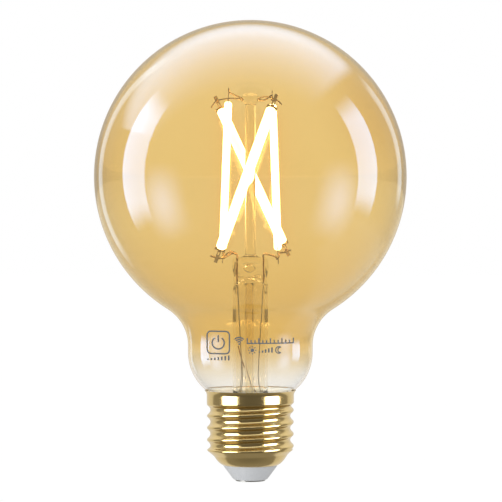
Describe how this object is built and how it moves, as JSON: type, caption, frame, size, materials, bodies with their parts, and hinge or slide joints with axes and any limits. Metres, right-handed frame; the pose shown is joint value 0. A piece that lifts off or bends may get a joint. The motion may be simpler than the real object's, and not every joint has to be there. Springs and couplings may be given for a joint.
{
  "type": "smart light bulb",
  "caption": "Lit globe lamp with LED filaments on a glass stem, in tinted glass, with a wireless driver in its Edison screw cap.",
  "frame": {"origin": "centre of the end contact's outer face, on the lamp's axis", "axes": "+Z along the lamp's axis from the cap to the top of the globe; +X along the width of the stem's press; -Y is the side whose filament leans to the right"},
  "size_m": [0.095, 0.095, 0.14],
  "materials": {
    "envelope_glass": "clear amber-tinted lamp glass, coated inside, fading to clear at the neck",
    "stem_glass": "clear lead glass",
    "phosphor": "silicone filled with yellow phosphor, lit",
    "substrate": "translucent white ceramic strip",
    "led_chips": "blue LED dies, taken as a glossy solid",
    "end_tabs": "tin-plated stamped strip, warm in the lamp's light",
    "inner_leads": "nickel wire",
    "support_wires": "molybdenum wire",
    "seal_wire": "copper-clad dumet wire, oxide-red in the seal",
    "outer_leads": "tinned copper-clad wire",
    "antenna": "enamelled copper wire",
    "sleeves": "white silicone-glass sleeving",
    "cap_brass": "polished lacquered brass strip",
    "cap_insulator": "white PBT, lightly glossy",
    "contact": "nickel-plated brass disc",
    "cement": "capping cement",
    "board": "glass-epoxy board, green mask",
    "black_body": "moulded epoxy package",
    "can": "aluminium can, dark sleeve",
    "bung": "rubber bung",
    "pins": "tin plate",
    "ferrite": "ferrite drum",
    "winding": "enamelled copper winding",
    "chip_resistor": "coated alumina chip",
    "chip_capacitor": "ceramic chip",
    "module_board": "glass-epoxy board, dark blue mask",
    "shield": "tinned shield can",
    "resistor_body": "cement-coated resistor",
    "solder": "tin solder"
  },
  "bodies": {
    "root": {"antenna_wire": "antenna", "back_filament_end_tabs": "end_tabs", "back_filament_led_chips": "led_chips", "back_filament_phosphor": "phosphor", "back_filament_substrate": "substrate", "base_insulator": "cap_insulator", "bridge_rectifier": "black_body", "bulk_capacitor": "can", "cap_shell": "cap_brass", "capacitor_bung": "bung", "capacitor_leads": "pins", "capping_cement": "cement", "chip_capacitors": "chip_capacitor", "chip_legs": "pins", "chip_resistors": "chip_resistor", "driver_board": "board", "driver_chips": "black_body", "end_contact": "contact", "exhaust_tube": "stem_glass", "front_filament_end_tabs": "end_tabs", "front_filament_led_chips": "led_chips", "front_filament_phosphor": "phosphor", "front_filament_substrate": "substrate", "fusible_resistor": "resistor_body", "glass_envelope": "envelope_glass", "inductor_core": "ferrite", "inductor_winding": "winding", "inner_lead_common": "inner_leads", "inner_lead_cool": "inner_leads", "inner_lead_warm": "inner_leads", "lead_sleeves": "sleeves", "left_filament_end_tabs": "end_tabs", "left_filament_led_chips": "led_chips", "left_filament_phosphor": "phosphor", "left_filament_substrate": "substrate", "live_lead": "outer_leads", "neutral_lead": "outer_leads", "outer_lead_common": "outer_leads", "outer_lead_cool": "outer_leads", "outer_lead_warm": "outer_leads", "resistor_lead": "outer_leads", "right_filament_end_tabs": "end_tabs", "right_filament_led_chips": "led_chips", "right_filament_phosphor": "phosphor", "right_filament_substrate": "substrate", "seal_wires": "seal_wire", "solder_joints": "solder", "stem_glass": "stem_glass", "support_rod": "stem_glass", "top_wire_left": "support_wires", "top_wire_right": "support_wires", "wifi_board": "module_board", "wifi_pins": "pins", "wifi_shield": "shield"}
  },
  "joints": []
}
